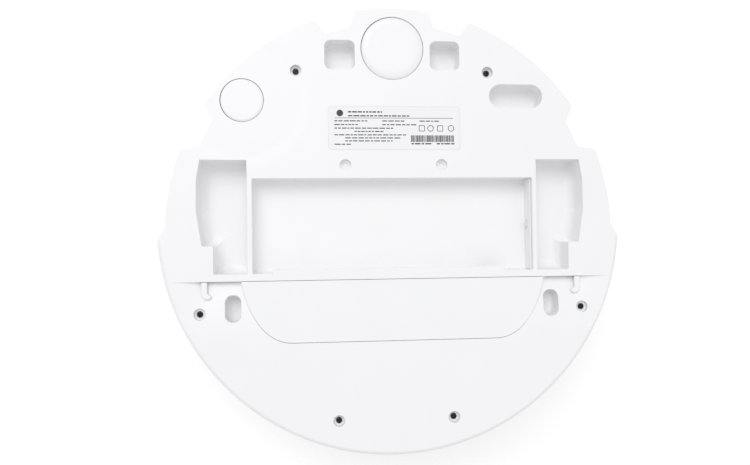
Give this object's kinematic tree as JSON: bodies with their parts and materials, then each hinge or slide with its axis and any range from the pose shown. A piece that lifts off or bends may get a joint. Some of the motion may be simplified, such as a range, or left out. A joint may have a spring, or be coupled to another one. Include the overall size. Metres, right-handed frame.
{
  "type": "robot vacuum cleaner body",
  "caption": "Round robot vacuum body lying underside up: empty wheel wells and brush bay, swivel discs, screwed covers, hinged dust lid, spinning range sensor and buttons.",
  "frame": {"origin": "centre of the plan at the flat top of the turret, which is the body's lowest face as it lies underside up", "axes": "+Z out of the robot's underside, because the body lies on its top; +Y to the robot's front; +X to the robot's own left, which is the right-hand side as seen looking down on the underside"},
  "size_m": [0.349, 0.3354, 0.0852],
  "materials": {
    "white_shell": "satin, very fine texture",
    "ivory_plastic": "satin",
    "button_plastic": "semi-gloss",
    "dark_plastic": "matte",
    "grey_plastic": "matte",
    "smoked_plastic": "smoked, polished",
    "label": "printed film",
    "dark_screw": "black zinc",
    "motor_steel": "plated",
    "battery_wrap": "shrink wrap",
    "circuit_board": "solder mask",
    "filter_paper": "pleated",
    "belt_rubber": "matte"
  },
  "bodies": {
    "body": {"base_cover": "white_shell", "rear_panel": "white_shell", "rating_label": "label", "cover_screw_1": "dark_screw", "cover_screw_2": "dark_screw", "cover_screw_3": "dark_screw", "cover_screw_4": "dark_screw", "cover_screw_5": "dark_screw", "cover_screw_6": "dark_screw", "caster_socket": "ivory_plastic", "side_brush_gearbox": "ivory_plastic", "side_brush_motor": "motor_steel", "wheel_well_right": "white_shell", "wheel_well_left": "white_shell", "brush_bay": "white_shell", "brush_gear_case": "white_shell", "brush_gearbox": "dark_plastic", "brush_motor": "motor_steel", "sensor_cup_right": "ivory_plastic", "sensor_cup_left": "ivory_plastic", "oval_cup": "ivory_plastic", "clip_cup_right": "ivory_plastic", "clip_cup_left": "ivory_plastic", "chassis": "dark_plastic", "battery_pack": "battery_wrap", "mainboard": "circuit_board", "shield_can": "motor_steel", "fan_housing": "dark_plastic", "fan_motor": "motor_steel", "exhaust_grille": "ivory_plastic", "speaker": "dark_plastic", "top_cover": "white_shell", "lid_hinge_pin": "motor_steel", "dust_box": "smoked_plastic", "dust_filter": "filter_paper", "turret_cap": "white_shell", "lidar_base": "dark_plastic", "lidar_motor": "motor_steel", "lidar_belt": "belt_rubber"},
    "caster": {"caster_disc": "white_shell"},
    "side_brush": {"side_brush_hub": "white_shell"},
    "right_catch": {"catch_right": "white_shell"},
    "left_catch": {"catch_left": "white_shell"},
    "coupling": {"brush_coupling": "ivory_plastic"},
    "impeller": {"fan_impeller": "grey_plastic"},
    "lidar": {"lidar_rotor": "dark_plastic"},
    "pulley": {"lidar_pulley": "ivory_plastic"},
    "lid": {"dust_lid": "white_shell"},
    "power": {"power_button": "button_plastic"},
    "home": {"home_button": "button_plastic"}
  },
  "joints": [
    {"name": "caster_swivel", "type": "hinge", "parent": "body", "child": "caster", "pos_m": [0, 0.1374, 0.082], "axis": [0, 0, 1], "continuous": true},
    {"name": "side_brush_spin", "type": "hinge", "parent": "body", "child": "side_brush", "pos_m": [-0.1123, 0.0974, 0.082], "axis": [0, 0, 1], "continuous": true},
    {"name": "catch_right_flex", "type": "hinge", "parent": "body", "child": "right_catch", "pos_m": [-0.14085, -0.0365, 0.082], "axis": [0, 0, 1], "range_deg": [-2.5, 2.5], "stiffness_Nm_per_rad": 0.05},
    {"name": "catch_left_flex", "type": "hinge", "parent": "body", "child": "left_catch", "pos_m": [0.14085, -0.0365, 0.082], "axis": [0, 0, 1], "range_deg": [-2.5, 2.5], "stiffness_Nm_per_rad": 0.05},
    {"name": "brush_drive_spin", "type": "hinge", "parent": "body", "child": "coupling", "pos_m": [0.103, 0.0043, 0.0705], "axis": [1, 0, 0], "continuous": true},
    {"name": "fan_spin", "type": "hinge", "parent": "body", "child": "impeller", "pos_m": [0.044, -0.0887, 0.061], "axis": [0, 0, 1], "continuous": true},
    {"name": "lidar_spin", "type": "hinge", "parent": "body", "child": "lidar", "pos_m": [0, 0.0193, 0.015], "axis": [0, 0, 1], "continuous": true},
    {"name": "pulley_spin", "type": "hinge", "parent": "body", "child": "pulley", "pos_m": [0.056, 0.0193, 0.0245], "axis": [0, 0, 1], "continuous": true},
    {"name": "dust_lid_hinge", "type": "hinge", "parent": "body", "child": "lid", "pos_m": [0, -0.0407, 0.0162], "axis": [1, 0, 0], "range_deg": [0, 85]},
    {"name": "power_button_press", "type": "slide", "parent": "body", "child": "power", "axis": [0, 0, 1], "range_m": [0, 0.001], "stiffness_N_per_m": 200, "springref_m": -0.003},
    {"name": "home_button_press", "type": "slide", "parent": "body", "child": "home", "axis": [0, 0, 1], "range_m": [0, 0.001], "stiffness_N_per_m": 200, "springref_m": -0.003}
  ],
  "couplings": [
    {"joint": "pulley_spin", "follows": "lidar_spin", "ratio": 4.4286}
  ]
}
